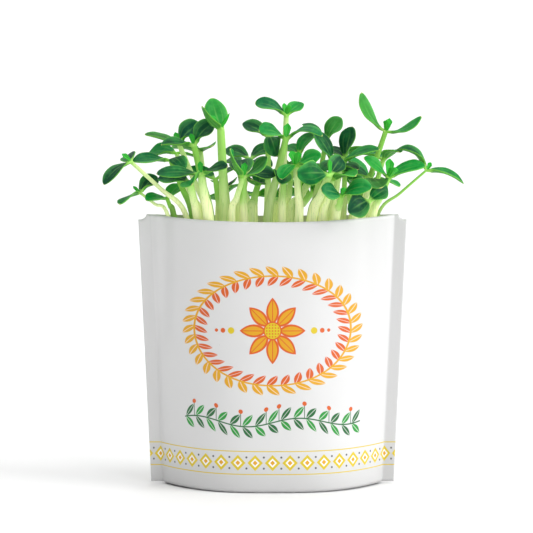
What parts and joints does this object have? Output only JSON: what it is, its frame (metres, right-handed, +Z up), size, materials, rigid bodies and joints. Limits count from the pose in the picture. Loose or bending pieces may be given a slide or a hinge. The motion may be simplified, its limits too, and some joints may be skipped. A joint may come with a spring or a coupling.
{
  "type": "sunflower microgreens growing pouch",
  "caption": "White stand-up film pouch, torn open at the top, with sunflower microgreens growing out of its mouth.",
  "frame": {"origin": "middle of the flat spot under the bottom gusset, on the floor", "axes": "+Z up out of the pouch's mouth, +X across the pouch from seal to seal, -Y toward the front panel"},
  "size_m": [0.1877, 0.0719, 0.2053],
  "materials": {
    "pouch_film": "satin",
    "gusset_film": "satin",
    "coir_medium": "matte",
    "sprout_green": "satin"
  },
  "bodies": {
    "root": {"bottom_gusset": "gusset_film", "growing_medium": "coir_medium", "pouch_back_panel": "pouch_film", "pouch_front_panel": "pouch_film", "sprout_01": "sprout_green", "sprout_02": "sprout_green", "sprout_03": "sprout_green", "sprout_04": "sprout_green", "sprout_05": "sprout_green", "sprout_06": "sprout_green", "sprout_07": "sprout_green", "sprout_08": "sprout_green", "sprout_09": "sprout_green", "sprout_10": "sprout_green", "sprout_11": "sprout_green", "sprout_12": "sprout_green", "sprout_13": "sprout_green", "sprout_14": "sprout_green", "sprout_15": "sprout_green", "sprout_16": "sprout_green", "sprout_17": "sprout_green", "sprout_18": "sprout_green", "sprout_19": "sprout_green", "sprout_20": "sprout_green", "sprout_21": "sprout_green", "sprout_22": "sprout_green", "sprout_23": "sprout_green", "sprout_24": "sprout_green", "sprout_25": "sprout_green", "sprout_26": "sprout_green", "sprout_27": "sprout_green", "sprout_28": "sprout_green", "sprout_29": "sprout_green", "sprout_30": "sprout_green", "sprout_31": "sprout_green", "sprout_32": "sprout_green", "sprout_33": "sprout_green", "sprout_34": "sprout_green", "sprout_35": "sprout_green", "sprout_36": "sprout_green", "sprout_37": "sprout_green", "sprout_38": "sprout_green", "sprout_39": "sprout_green", "sprout_40": "sprout_green", "sprout_41": "sprout_green", "sprout_42": "sprout_green", "sprout_43": "sprout_green", "sprout_44": "sprout_green", "sprout_45": "sprout_green", "sprout_46": "sprout_green", "sprout_47": "sprout_green"}
  },
  "joints": []
}
